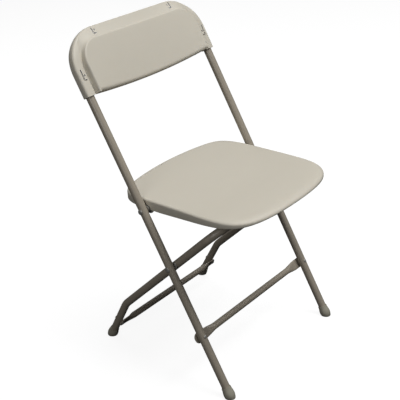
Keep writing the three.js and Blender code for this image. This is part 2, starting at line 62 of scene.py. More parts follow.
FRONT_FOOT_Y = crossing[1] - CROSSING_S * math.sin(LEAN)
X_AXIS = np.array([1.0, 0.0, 0.0])
UP_TUBE = np.array([0.0, math.sin(LEAN), math.cos(LEAN)])
AHEAD_OF_TUBE = np.array([0.0, -math.cos(LEAN), math.sin(LEAN)])


def on_long_tube(x, s, ahead):
    """A point of the long tube's plane: x across the chair, s up the tube from the floor, `ahead` of it."""
    x, s, ahead = np.broadcast_arrays(x, s, ahead)
    foot = np.array([0.0, FRONT_FOOT_Y, 0.0])
    return foot + x[..., None] * X_AXIS + s[..., None] * UP_TUBE + ahead[..., None] * AHEAD_OF_TUBE


def unit(vectors):
    """Each vector divided by its own length."""
    return vectors / np.linalg.norm(vectors, axis=-1, keepdims=True)


def rounded(corners, radii, steps):
    """A bent line: each inner corner gives way to an arc centred r / cos(turn / 2) inside it."""
    corners = np.asarray(corners, float)
    runs = [corners[:1]]
    for corner, radius, count in zip(range(1, len(corners) - 1), radii, steps):
        into, out = unit(np.diff(corners[corner - 1:corner + 2], axis=0))
        turn = math.acos(np.clip(into @ out, -1, 1))
        inward, along = unit(out - into), unit(into + out)
        centre = corners[corner] + inward * radius / math.cos(turn / 2)
        angle = np.linspace(-turn / 2, turn / 2, count)[:, None]
        runs.append(centre + radius * (along * np.sin(angle) - inward * np.cos(angle)))
    return np.concatenate([*runs, corners[-1:]])


def carried(path, section, facing):
    """A section carried along a path: path + a * side + b * top, side being the path's direction crossed with
    `facing`, and top being side crossed with that direction. A section may differ from station to station."""
    ahead = unit(np.gradient(path, axis=0))
    side = unit(np.cross(ahead, facing))
    top = np.cross(side, ahead)
    section = np.broadcast_to(section, (len(path), *np.shape(section)[-2:]))
    return path[:, None] + section[..., :1] * side[:, None] + section[..., 1:] * top[:, None]


def circle(radius, sides, start=0.0):
    """Points of a circle: radius times cosine and sine of equal turns."""
    angle = start + np.arange(sides) * 2 * math.pi / sides
    return radius * np.stack([np.cos(angle), np.sin(angle)], axis=-1)


def add_piece(name, shells, finish, sharp=38):
    """One closed mesh from shells, each a grid of points in millimetres whose rows are closed lines. A plain
    grid has its first and last rows filled; one marked as a ring joins its last row to its first."""
    points, faces, first = [], [], 0
    for grid, is_ring in shells:
        rows, columns = grid.shape[:2]
        index = first + np.arange(rows * columns).reshape(rows, columns)
        here, there = (index, np.roll(index, -1, axis=0)) if is_ring else (index[:-1], index[1:])
        quads = np.stack([here, np.roll(here, -1, axis=1), np.roll(there, -1, axis=1), there], axis=-1)
        faces += quads.reshape(-1, 4).tolist()
        if not is_ring:
            faces += [index[0].tolist(), index[-1].tolist()]
        points.append(grid.reshape(-1, 3))
        first += rows * columns
    mesh = bpy.data.meshes.new(name)
    mesh.from_pydata((np.concatenate(points) * 0.001).tolist(), [], faces)
    shell = bmesh.new()
    shell.from_mesh(mesh)
    bmesh.ops.remove_doubles(shell, verts=shell.verts, dist=2e-6)
    bmesh.ops.recalc_face_normals(shell, faces=shell.faces)
    shell.to_mesh(mesh)
    shell.free()
    mesh.materials.append(finish)
    piece = bpy.data.objects.new(name, mesh)
    bpy.context.scene.collection.objects.link(piece)
    soften(piece, sharp)
    return piece


def soften(piece, sharp=38):
    """Smooth shading that keeps every edge turning more than `sharp` degrees crisp."""
    piece.data.shade_smooth()
    piece.data.set_sharp_from_angle(angle=math.radians(sharp))


def worked(piece, operation, tools, sharp=38):
    """The piece with other closed pieces joined to it (UNION) or cut from it (DIFFERENCE), using them up."""
    for tool in tools:
        step = piece.modifiers.new("work", "BOOLEAN")
        step.operation, step.object, step.solver = operation, tool, "MANIFOLD"
        made = bpy.data.meshes.new_from_object(piece.evaluated_get(bpy.context.evaluated_depsgraph_get()))
        piece.modifiers.clear()
        piece.data = made
        bpy.data.objects.remove(tool)
    soften(piece, sharp)
    return piece


class Wire:
    """A node's socket in a sum: each operator adds the Math node that works it out."""

    def __init__(self, tree, socket):
        self.tree, self.socket = tree, socket

    def node(self, kind, settings, sockets, output=0):
        """Adds a node. Its settings come first, such as an operation or a ramp's stops, then its sockets."""
        node = self.tree.nodes.new(kind)
        for name, value in settings.items():
            if name == "stops":
                for element, (place, shade) in zip(node.color_ramp.elements, value):
                    element.position, element.color = place, (shade, shade, shade, 1)
            else:
                setattr(node, name, value)
        for name, value in sockets.items():
            if isinstance(value, Wire):
                self.tree.links.new(value.socket, node.inputs[name])
            else:
                node.inputs[name].default_value = value
        return Wire(self.tree, node.outputs[output])

    def maths(self, operation, first, second):
        return self.node("ShaderNodeMath", {"operation": operation}, {0: first, 1: second})

    def __add__(self, other):
        return self.maths("ADD", self, other)

    __radd__ = __add__

    def __mul__(self, other):
        return self.maths("MULTIPLY", self, other)

    __rmul__ = __mul__

    def __sub__(self, other):
        return self.maths("SUBTRACT", self, other)


def colour(red, green, blue):
    """A screen colour of 0 to 255 as linear light."""
    shade = np.array([red, green, blue]) / 255
    linear = np.where(shade <= 0.04045, shade / 12.92, ((shade + 0.055) / 1.055) ** 2.4)
    return (*linear.tolist(), 1.0)


def new_finish(name, **constants):
    """An empty material: its shader with constants set on it, and the object's own coordinates as a wire."""
    finish = bpy.data.materials.new(name)
    finish.use_nodes = True
    shader = finish.node_tree.nodes["Principled BSDF"]
    for socket, value in constants.items():
        shader.inputs[socket.replace("_", " ")].default_value = value
    place = finish.node_tree.nodes.new("ShaderNodeTexCoord").outputs["Object"]
    return finish, shader, Wire(finish.node_tree, place)


def noise(place, scale, detail=3.0, roughness=0.55):
    """Cloudy noise from 0 to 1 at that many features to the metre."""
    return place.node("ShaderNodeTexNoise", {},
                      {"Vector": place, "Scale": scale, "Detail": detail, "Roughness": roughness})


def stretched(place, scale):
    """The coordinates scaled on each axis, so that a pattern on them is drawn out."""
    return place.node("ShaderNodeMapping", {}, {"Vector": place, "Scale": scale})


def ramp(value, stops):
    """A grey ramp through (place, brightness) stops."""
    return value.node("ShaderNodeValToRGB", {"stops": stops}, {"Fac": value})


def blended(amount, first, second):
    """Mixes two colours by an amount from 0 to 1."""
    return amount.node("ShaderNodeMix", {"data_type": "RGBA"}, {"Factor": amount, "A": first, "B": second}, 2)


def plug_in(shader, base, rough, height, depth):
    """Feeds colour and roughness to the shader, and the height through a Bump of that depth in metres."""
    tree = base.tree
    tree.links.new(base.socket, shader.inputs["Base Color"])
    tree.links.new(rough.socket, shader.inputs["Roughness"])
    bump = base.node("ShaderNodeBump", {}, {"Height": height, "Distance": depth, "Strength": 1.0})
    tree.links.new(bump.socket, shader.inputs["Normal"])


def painted_steel(name, paint, worn, primer):
    """Sprayed enamel: a slow drift of shade, a fine orange peel, faint rubbed streaks and a few pin chips."""
    finish, shader, place = new_finish(name, Metallic=0.0, Specular_IOR_Level=0.5, Coat_Weight=0.25,
                                       Coat_Roughness=0.22)
    drift = ramp(noise(place, 9.0), [(0.35, 0.0), (0.7, 1.0)])
    streaks = ramp(noise(stretched(place, (260, 260, 14)), 1.0, 5.0, 0.6), [(0.55, 0.0), (0.75, 1.0)])
    chips = ramp(noise(place, 420.0, 2.0), [(0.735, 0.0), (0.75, 1.0)])
    base = blended(drift * 0.5, paint, worn)
    base = blended(streaks * 0.1, base, worn)
    base = blended(chips * 0.4, base, primer)
    peel = noise(place, 1100.0, 2.0)
    rough = 0.36 + drift * 0.06 + streaks * 0.12
    plug_in(shader, base, rough, peel * 0.6 + streaks * 0.1 - chips * 0.5, 0.00009)
    return finish


def bent_over(start):
    """The long tube's line, up one side from that height, over the top and down to the same height."""
    corners = [(-HALF_SPACING, start), (-HALF_SPACING, TOP_S), (HALF_SPACING, TOP_S), (HALF_SPACING, start)]
    return on_long_tube(*rounded(corners, [TOP_BEND_R, TOP_BEND_R], [28, 28]).T, 0.0)


warm_grey, worn_grey, primer_grey = colour(161, 152, 137), colour(151, 143, 130), colour(118, 112, 103)
frame_paint = painted_steel("frame_paint", warm_grey, worn_grey, primer_grey)
long_tube = add_piece("long_tube", [
    (carried(bent_over(TUBE_START_S), circle(TUBE_R, 40), AHEAD_OF_TUBE), False)], frame_paint)
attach(long_tube, "frame")
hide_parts("long_frame_tube")

# ---- rear legs ----
# A second 3/4 inch tube, narrower than the long one so that it folds inside it: two kinked legs joined by the
# run under the front of the seat. The kink stands the lower legs up, and the paint is the long tube's.
REAR_LEAN = math.radians(46.6)
SHIN_LEAN = math.radians(29.75)
REAR_HALF_SPACING = 178.5
REAR_TOP = 166.0         # crossing pivot up to the run under the seat
REAR_KNEE = 250.0        # crossing pivot down to the kink
KNEE_BEND_R = 60.0
REAR_CORNER_R = 45.0
UP_REAR = np.array([0.0, -math.sin(REAR_LEAN), math.cos(REAR_LEAN)])
UP_SHIN = np.array([0.0, -math.sin(SHIN_LEAN), math.cos(SHIN_LEAN)])
knee = crossing - REAR_KNEE * UP_REAR
rear_foot = knee - UP_SHIN * knee[2] / UP_SHIN[2]
under_seat = crossing + REAR_TOP * UP_REAR
rear_corners = np.array([rear_foot + TUBE_START_S * UP_SHIN, knee, under_seat])
rear_corners = np.concatenate([rear_corners - REAR_HALF_SPACING * X_AXIS,
                               rear_corners[::-1] + REAR_HALF_SPACING * X_AXIS])
rear_path = rounded(rear_corners, [KNEE_BEND_R, REAR_CORNER_R, REAR_CORNER_R, KNEE_BEND_R], [12, 24, 24, 12])
BEHIND_REAR = np.array([0.0, math.cos(REAR_LEAN), math.sin(REAR_LEAN)])
rear_tube = add_piece("rear_leg_frame", [
    (carried(rear_path, circle(TUBE_R, 40), BEHIND_REAR), False)], frame_paint)
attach(rear_tube, "rear_legs")
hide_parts("rear_leg_tube")

# ---- braces ----
# Two 5/8 inch tubes that tie the legs of each frame together: the front one lies behind its legs, the rear
# one ahead of them. A press flattens and widens the ends, and a rivet through each flat holds it to the leg.
BRACE_R = 7.95
BRACE_OFFSET = 12.2      # brace axis to leg axis
FLAT_HALF_T = 2.1
FLAT_HALF_W = 12.4
TIP_LENGTH = 10.0
FRONT_BRACE_S = 153.4
REAR_BRACE_BELOW_KNEE = 68.4


def pressed_brace(half, flat_from, flat_to, middle, across, up):
    """A tube along x whose section eases from a circle to a flat lozenge between two distances from the
    middle. Each coordinate is a signed power of cosine or sine, with the power falling from 1 so that the
    flat's edge is square. The width of the tip is sqrt(1 - 0.85 u^2), which rounds it in plan."""
    tip = half - TIP_LENGTH * np.cos(np.linspace(0, math.pi / 2, 10))
    run = np.concatenate([np.linspace(0, flat_from - 8, 12), np.linspace(flat_from - 6, tip[0] - 1, 22)])
    x = np.concatenate([run, tip])
    x = np.concatenate([-x[:0:-1], x])
    past = np.clip((np.abs(x) - tip[0]) / TIP_LENGTH, 0, 1)[:, None]
    press = np.clip((np.abs(x) - flat_from + 6) / (flat_to - flat_from + 6), 0, 1)
    press = (press ** 2 * (3 - 2 * press))[:, None]
    angle = np.arange(40) * math.pi / 20
    power = 1 - 0.45 * press
    sine, cosine = np.sin(angle), np.cos(angle)
    thick = (BRACE_R + (FLAT_HALF_T - BRACE_R) * press) * np.sign(sine) * np.abs(sine) ** power
    wide = (BRACE_R + (FLAT_HALF_W - BRACE_R) * press) * np.sign(cosine) * np.abs(cosine) ** power
    thick, wide = thick * (1 - 0.15 * past ** 8), wide * np.sqrt(1 - 0.85 * past ** 2)
    return middle + x[:, None, None] * X_AXIS + thick[..., None] * across + wide[..., None] * up


front_brace_at = on_long_tube(0.0, FRONT_BRACE_S, -BRACE_OFFSET)
brace = pressed_brace(HALF_SPACING + 12, 148.0, 182.0, front_brace_at, AHEAD_OF_TUBE, UP_TUBE)
front_brace = add_piece("front_brace_tube", [(brace, False)], frame_paint, sharp=50)
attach(front_brace, "frame")
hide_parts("front_brace")

AHEAD_OF_SHIN = np.array([0.0, -math.cos(SHIN_LEAN), -math.sin(SHIN_LEAN)])
rear_brace_at = knee - REAR_BRACE_BELOW_KNEE * UP_SHIN + BRACE_OFFSET * AHEAD_OF_SHIN
brace = pressed_brace(REAR_HALF_SPACING + 6, 140.0, 163.0, rear_brace_at, AHEAD_OF_SHIN, UP_SHIN)
rear_brace = add_piece("rear_brace_tube", [(brace, False)], frame_paint, sharp=50)
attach(rear_brace, "rear_legs")
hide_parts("rear_brace")

# ---- foot caps ----
# Four bulb-shaped caps of soft grey plastic, pushed over the tube ends. Each is turned to a slim neck and a
# full round body that draws in to its sole, which is cut level with the floor.
FOOT_PROFILE = [(10.8, 26.0), (11.1, 25.5), (11.2, 23.0), (11.7, 19.0), (12.5, 15.0), (13.0, 11.0),
                (13.1, 7.5), (12.8, 4.0), (12.2, 1.0), (11.3, -2.0), (10.2, -5.0), (8.8, -8.0),
                (6.5, -10.5), (0.0, -10.5)]
SOCKET_END = 12.0        # the tube's end inside the cap, up its axis
GAP = 0.3                # between pieces that touch


def foot_plastic():
    """Soft plastic: mottled shade, scuffed rougher and darker near the floor, with a fine moulded grain."""
    finish, shader, place = new_finish("foot_plastic", Specular_IOR_Level=0.4)
    mottle = ramp(noise(place, 60.0), [(0.3, 0.0), (0.75, 1.0)])
    height = place.node("ShaderNodeSeparateXYZ", {}, {"Vector": place}, 2)
    dirt = ramp(height * 60.0 + noise(place, 130.0) * 0.7, [(0.3, 1.0), (1.0, 0.0)])
    base = blended(mottle * 0.35, colour(160, 156, 141), colour(147, 144, 130))
    base = blended(dirt * 0.5, base, colour(112, 109, 97))
    grain = noise(place, 1500.0, 2.0) + dirt * noise(place, 700.0)
    plug_in(shader, base, 0.52 + mottle * 0.08 + dirt * 0.2, grain, 0.00007)
    return finish


def turned(profile, centre, axis, across, sides=36):
    """A profile of (radius, height) turned about an axis: centre + height * axis + radius * (cos, sin)."""
    profile = np.asarray(profile, float)
    around = circle(1.0, sides)
    spoke = around[:, :1] * across + around[:, 1:] * np.cross(axis, across)
    return centre + profile[:, None, 1:] * axis + profile[:, None, :1] * spoke


def drill(radius, depth, start, axis, across, sides):
    """A plain round bar of that length, as a cutting tool."""
    return turned([(0, 0), (radius, 0), (radius, depth), (0, depth)], start, axis, across, sides)


def eased(profile, steps):
    """A smooth line through the points of a profile, by the cubic that leaves each one along the chord of
    its neighbours (Catmull-Rom)."""
    points = np.asarray(profile, float)
    padded = np.concatenate([points[:1], points, points[-1:]])
    t = np.arange(steps)[:, None] / steps
    p0, p1, p2, p3 = (padded[k:len(padded) - 3 + k, None] for k in range(4))
    run = 0.5 * (2 * p1 + (p2 - p0) * t + (2 * p0 - 5 * p1 + 4 * p2 - p3) * t ** 2
                 + (3 * p1 - p0 - 3 * p2 + p3) * t ** 3)
    return np.concatenate([run.reshape(-1, 2), points[-1:]])


def foot_cap(foot, axis):
    """A turned bulb: points below the floor slide up along its axis on to it, which cuts a level sole."""
    mouth = FOOT_PROFILE[0][1]
    socket = [(0.0, SOCKET_END), (TUBE_R + GAP, SOCKET_END), (TUBE_R + GAP, mouth - 0.3), (10.2, mouth)]
    profile = np.concatenate([socket, eased(FOOT_PROFILE[:-1], 3), FOOT_PROFILE[-1:]])
    cap = turned(profile, foot, axis, X_AXIS)
    return cap - np.minimum(cap[..., 2:], 0) / axis[2] * axis


rubbery = foot_plastic()
for side, sign in (("right", -1), ("left", 1)):
    for end, body, foot, axis in (("front", "frame", np.array([0.0, FRONT_FOOT_Y, 0.0]), UP_TUBE),
                                  ("rear", "rear_legs", rear_foot, UP_SHIN)):
        spread = HALF_SPACING if end == "front" else REAR_HALF_SPACING
        cap = foot_cap(foot + sign * spread * X_AXIS, axis)
        cap = add_piece(f"{end}_foot_cap_{side}", [(cap, False)], rubbery)
        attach(cap, body)
        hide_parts(f"{end}_foot_{side}")

# ---- moulded back ----
# One plastic moulding slipped over the top of the long tube and held by snap tongues moulded in its sleeve. A
# panel stands proud of the sleeve and is hollowed from side to side; behind, it is a thin skin with a rim.
SLEEVE_R = 14.0
SLEEVE_END_S = 740.0
PANEL_HALF_W = 186.0
PANEL_TOP_S = 856.0
PANEL_CORNER_R = 52.0
PANEL_BOTTOM_SIDE_S = 741.0
PANEL_BOTTOM_MID_S = 733.0
PANEL_PROUD = 23.5       # the panel's face ahead of the tube, at its sides
HOLLOW_TOP, HOLLOW_LOW = 6.0, 12.5     # how much less it is at the middle of its upper and lower edges
PANEL_SKIN = 4.0
HEM_HEIGHT, HEM_DEPTH = 9.0, 9.0
SLEEVE_FRONT = 12.6
SQUARENESS = 0.45        # the power that flattens the sleeve's section: 1 would be an ellipse
BAND_WIDTH = 16.0        # from the tube to the panel's edge, for an even spacing of points
TOP_NARROWING = 0.76     # the sleeve's reach beyond the tube along the top, as a share of its radius
LAND_FRONT, LAND_BACK, RIM_BACK, LIP_BACK = 9.5, -0.9, -5.0, -1.5
SLOT_AHEAD = (7.5, 28.0)     # right through the sleeve's front


def moulded_plastic(name, base_colour, shade_colour, scuff_colour):
    """Moulded plastic: slow flow marks, a fine even grain, and faint rubbed scuffs that shine less."""
    finish, shader, place = new_finish(name, Specular_IOR_Level=0.42, Subsurface_Weight=0.04,
                                       Subsurface_Radius=(0.004, 0.003, 0.002), Subsurface_Scale=1.0)
    flow = ramp(noise(stretched(place, (1.0, 1.6, 1.2)), 5.0, 4.0), [(0.3, 0.0), (0.72, 1.0)])
    speck = ramp(noise(place, 900.0, 2.0), [(0.62, 0.0), (0.74, 1.0)])
    scuff = ramp(noise(stretched(place, (16, 120, 90)), 1.0, 6.0, 0.62), [(0.62, 0.0), (0.8, 1.0)])
    base = blended(flow * 0.45, base_colour, shade_colour)
    base = blended(speck * 0.07, base, scuff_colour)
    base = blended(scuff * 0.2, base, scuff_colour)
    grain = noise(place, 1300.0, 3.0, 0.6)
    plug_in(shader, base, 0.46 + flow * 0.05 + scuff * 0.16 + grain * 0.05, grain + scuff * 0.25, 0.00011)
    return finish


def rounded_top(half, bottom, top, radius, counts):
    """A line up one side, round a corner, along the top and down again, and the direction it faces outwards.
    The counts are the stations of a side, a corner and the top."""
    side, corner, across = counts
    turn = np.linspace(0, math.pi / 2, corner)
    left = np.stack([np.full(side, -half), np.linspace(bottom, top - radius, side, endpoint=False)], -1)
    bend = np.stack([radius - half - radius * np.cos(turn), top - radius + radius * np.sin(turn)], -1)
    out = np.concatenate([np.tile([-1.0, 0.0], (side, 1)), np.stack([-np.cos(turn), np.sin(turn)], -1)])
    x = np.linspace(radius - half, half - radius, across + 2)[1:-1]
    line = np.concatenate([left, bend, np.stack([x, np.full(across, top)], -1), (bend * [-1, 1])[::-1],
                           (left * [-1, 1])[::-1]])
    return line, np.concatenate([out, np.tile([0.0, 1.0], (across, 1)), (out * [-1, 1])[::-1]])


def panel_bottom(x):
    """The panel's lower edge: level in the middle and rising by the square of x to the sides."""
    return PANEL_BOTTOM_MID_S + (PANEL_BOTTOM_SIDE_S - PANEL_BOTTOM_MID_S) * (x / PANEL_HALF_W) ** 2


def panel_face(x, s):
    """How far the face stands ahead of the tube: the full amount at the sides, less a hollow that fades with
    the square of x and deepens as a power of the way down."""
    down = np.clip((PANEL_TOP_S - s) / (PANEL_TOP_S - PANEL_BOTTOM_MID_S), 0, 1)
    hollow = HOLLOW_TOP + (HOLLOW_LOW - HOLLOW_TOP) * down ** 1.5
    return PANEL_PROUD - hollow * (1 - (x / PANEL_HALF_W) ** 2)


def evened(line, count, closed=False):
    """The same line with that many points at equal steps along it."""
    if closed:
        line = np.concatenate([line, line[:1]])
    along = np.concatenate([[0], np.cumsum(np.linalg.norm(np.diff(line, axis=0), axis=1))])
    steps = np.linspace(0, along[-1], count, endpoint=not closed)
    return np.stack([np.interp(steps, along, line[:, k]) for k in range(line.shape[1])], axis=-1)


def front_of_border():
    """The border's front from the moulding's outline in to the panel's wall, as (share of the way from the
    tube to the panel's edge, distance in from that line, distance ahead), at the sides and along the top. At
    the sides it is a flattened sleeve, |e / 14|^4.4 + |n / 12.6|^4.4 = 1, a narrow land and a steep wall;
    along the top one slope climbs from the outline over the tube to the panel's edge."""
    angle = np.linspace(0, math.pi / 2, 20)
    across, ahead = SLEEVE_R * np.cos(angle) ** SQUARENESS, SLEEVE_FRONT * np.sin(angle) ** SQUARENESS
    outer = np.stack([0 * angle, -across, ahead], -1)
    fall = np.linspace(0, 1, 12)[1:]
    dip = (SLEEVE_FRONT - LAND_FRONT) * fall ** 2.6
    inner = np.stack([0 * fall, 11.2 * fall ** 0.8, SLEEVE_FRONT - dip], -1)
    wall = np.array([(1.0, -1.8, LAND_FRONT), (1.0, -0.9, LAND_FRONT + 0.6), (1.0, -0.3, LAND_FRONT + 1.9),
                     (1.0, 0.0, PANEL_PROUD - 5.0)])
    side = np.concatenate([outer, inner, wall])
    slope = np.linspace(0, 1, 14)
    crest, brink = 12.4, PANEL_PROUD - 1.4
    band = np.stack([slope, -8.0 * (1 - slope) ** 2, crest + (brink - crest) * slope], -1)
    brow = outer[:15] * [1, TOP_NARROWING, 0.8]
    over = np.concatenate([brow, [(0.0, -5.4, 10.6), (0.0, -2.5, 11.7)], band])
    in_mm = [BAND_WIDTH, 1, 1]
    return evened(side, 46), evened(over * in_mm, 46) / in_mm


def back_sections():
    """The moulding as closed sections, one for each station along the sleeve. Each runs over the front of the
    border, up the panel's rounded edge, down its face, round its lower edge, and back up behind the skin,
    over the rim and round the back of the sleeve."""
    counts = (14, 30, 70)
    tube, out = rounded_top(HALF_SPACING, SLEEVE_END_S, TOP_S, TOP_BEND_R, counts)
    edge, _ = rounded_top(PANEL_HALF_W, PANEL_BOTTOM_SIDE_S, PANEL_TOP_S, PANEL_CORNER_R, counts)
    corners = counts[0] + counts[1]
    reach = PANEL_HALF_W - PANEL_SKIN
    stations = [0, corners - 1, len(tube) - corners, len(tube) - 1]
    low_x = np.interp(np.arange(len(tube)), stations, [-reach, -118.0, 118.0, reach])
    section = []

    def place(line, inset, ahead):
        section.append(on_long_tube(*(line - np.reshape(inset, (-1, 1)) * out).T, ahead))

    top_share = np.clip((out[:, 1] - 0.35) / 0.6, 0, 1)
    top_share = top_share ** 2 * (3 - 2 * top_share)
    side_front, top_front = front_of_border()
    drop = PANEL_PROUD - panel_face(*edge.T)
    for at_side, at_top in zip(side_front, top_front):
        share, inset, ahead = (a + (b - a) * top_share for a, b in zip(at_side, at_top))
        place(tube + share[:, None] * (edge - tube), inset, ahead - share * drop)
    depth = 5.0 - 3.6 * top_share
    for angle in np.linspace(0, math.pi / 2, 9)[1:]:
        place(edge, PANEL_SKIN * (1 - math.cos(angle)), PANEL_PROUD - drop - depth * (1 - math.sin(angle)))
    top = edge - PANEL_SKIN * out
    bottom = panel_bottom(low_x)
    low = np.stack([low_x, np.minimum(bottom + HEM_HEIGHT, top[:, 1])], -1)
    low_face = panel_face(*low.T)
    for share in np.linspace(0, 1, 24)[1:-1]:
        line = top + share * (low - top)
        section.append(on_long_tube(*line.T, panel_face(*line.T)))
    hem = low[:, 1] - bottom
    for angle in np.linspace(0, math.pi / 2, 10):
        section.append(on_long_tube(low_x, low[:, 1] - hem * math.sin(angle),
                                    low_face - HEM_DEPTH * (1 - math.cos(angle))))
    for up, ahead in ((0.0, 0.6), (0.6, 0.0), (2.6, 0.0), (3.2, 0.6)):
        section.append(on_long_tube(low_x, bottom + up, LIP_BACK + ahead))
    inner = np.maximum(bottom + 3.2, low[:, 1] - 0.6)
    section.append(on_long_tube(low_x, inner, low_face - PANEL_SKIN))
    floor = np.stack([low_x, inner], -1)
    for share in np.linspace(0, 1, 20)[1:-1]:
        line = floor + share * (top - floor)
        section.append(on_long_tube(*line.T, panel_face(*line.T) - PANEL_SKIN))
    inner_face = PANEL_PROUD - drop - PANEL_SKIN - 1.2
    for inset, ahead in ((PANEL_SKIN, inner_face), (PANEL_SKIN, RIM_BACK + 0.8), (PANEL_SKIN - 0.8, RIM_BACK),
                         (0.8, RIM_BACK), (0.0, RIM_BACK + 0.8), (0.0, LAND_BACK)):
        place(edge, inset, ahead)
    for angle in np.linspace(math.pi + math.asin(-LAND_BACK / SLEEVE_R), 2 * math.pi, 18)[:-1]:
        reach_out = -SLEEVE_R * math.cos(angle) * (1 - (1 - TOP_NARROWING) * top_share)
        place(tube, reach_out, SLEEVE_R * math.sin(angle))
    return np.stack(section, axis=1)


def block(x0, x1, s0, s1, n0, n1):
    """A block in the long tube's plane, between two distances across, up and ahead, as a cutting tool."""
    x, s = np.array([x0, x1, x1, x0]), np.array([s0, s0, s1, s1])
    return add_piece("cutter", [(np.stack([on_long_tube(x, s, n) for n in (n0, n1)]), False)], None)


cream = moulded_plastic("cream_plastic", colour(206, 200, 186), colour(199, 193, 179), colour(216, 211, 199))
moulded_back = add_piece("moulded_back", [(back_sections(), False)], cream, sharp=60)
channel = carried(bent_over(SLEEVE_END_S - 40), circle(TUBE_R + GAP, 40), AHEAD_OF_TUBE)
tools = [add_piece("cutter", [(channel, False)], None)]
# The slots round the snap tongues: from and to across, from and to up the tube.
SLOTS = ((201.4, 204.6, 775.0, 800.0), (195.4, 202.8, 774.2, 777.4), (196.2, 199.4, 784.0, 788.4),
         (125.4, 128.6, 862.0, 878.0), (119.4, 126.6, 861.4, 864.6), (118.6, 121.8, 869.6, 873.6))
for sign in (-1, 1):
    for x0, x1, s0, s1 in SLOTS:
        tools.append(block(*sorted((sign * x0, sign * x1)), s0, s1, *SLOT_AHEAD))
worked(moulded_back, "DIFFERENCE", tools, sharp=60)
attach(moulded_back, "frame")
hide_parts("backrest")

# ---- moulded seat ----
# One plastic shell with straight sides and a bowed rear edge. Its top is slightly dished and rolls over at
# the front, its skirt gets shallower forward, and ribs, tube rests and screw bosses stand under its skin.
SEAT_RIM_Z = 434.0
SEAT_HALF_W = 186.0
SEAT_FRONT_Y = FRONT_FOOT_Y - 48.0
SEAT_REAR_Y = FRONT_FOOT_Y + 332.0
SEAT_SKIN = 3.5
SEAT_WALL = 3.0
SKIRT_REAR = 24.0
SKIRT_FRONT = 14.0
SEAT_DISH = 2.2
FRONT_FALL, FRONT_FALL_FROM = 3.5, 95.0   # the top slopes down ahead of this distance from its front edge
BOSS_R, BOSS_DROP, SCREW_HOLE_R = 6.0, 4.0, 2.0
REST_X, REST_HALF_W, REST_HALF_L = 75.0, 10.0, 12.0
NOTCH_FROM_X, NOTCH_LENGTH, NOTCH_R = 179.0, 11.0, 8.5     # the skirt's notch round the pivot's bush
UNDERSIDE_Z = SEAT_RIM_Z - SEAT_SKIN
BURIED = 0.6             # how far ribs and rests reach up into the skin
SEAT_SCREW_X, LINK_SCREW_X = 170.0, 127.0
LINK_PIN = seat_pivot - np.array([0.0, 103.032, 10.0])     # ahead of the seat pivot and below it
SEAT_SCREWS_Y = seat_pivot[1] + np.array([-36.0, -8.0])
LINK_SCREWS_Y = LINK_PIN[1] + np.array([-16.0, 16.0])


def seat_outline(count):
    """The seat's plan at equal steps along its edge: cubic curves through half of the front and half of the
    rear, a straight side between them, and the mirror image of it all."""
    w, front, rear = SEAT_HALF_W, SEAT_FRONT_Y, SEAT_REAR_Y
    curves = np.array([
        [(0, front), (w * 0.5, front), (w * 0.8, front + 10), (w * 0.92, front + 46)],
        [(w * 0.92, front + 46), (w * 0.99, front + 68), (w, front + 95), (w, front + 140)],
        [(w, front + 140), (w, front + 180), (w, rear - 150), (w, rear - 118)],
        [(w, rear - 118), (w, rear - 60), (w * 0.975, rear - 27), (w * 0.71, rear - 15)],
        [(w * 0.71, rear - 15), (w * 0.5, rear - 5), (w * 0.22, rear), (0, rear)]])
    t = np.linspace(0, 1, 60, endpoint=False)[None, :, None]
    p0, p1, p2, p3 = (curves[:, k, None] for k in range(4))
    half = (1 - t) ** 3 * p0 + 3 * (1 - t) ** 2 * t * p1 + 3 * (1 - t) * t ** 2 * p2 + t ** 3 * p3
    half = half.reshape(-1, 2)
    return evened(np.concatenate([half, [[0, rear]], (half * [-1, 1])[:0:-1]]), count, closed=True)


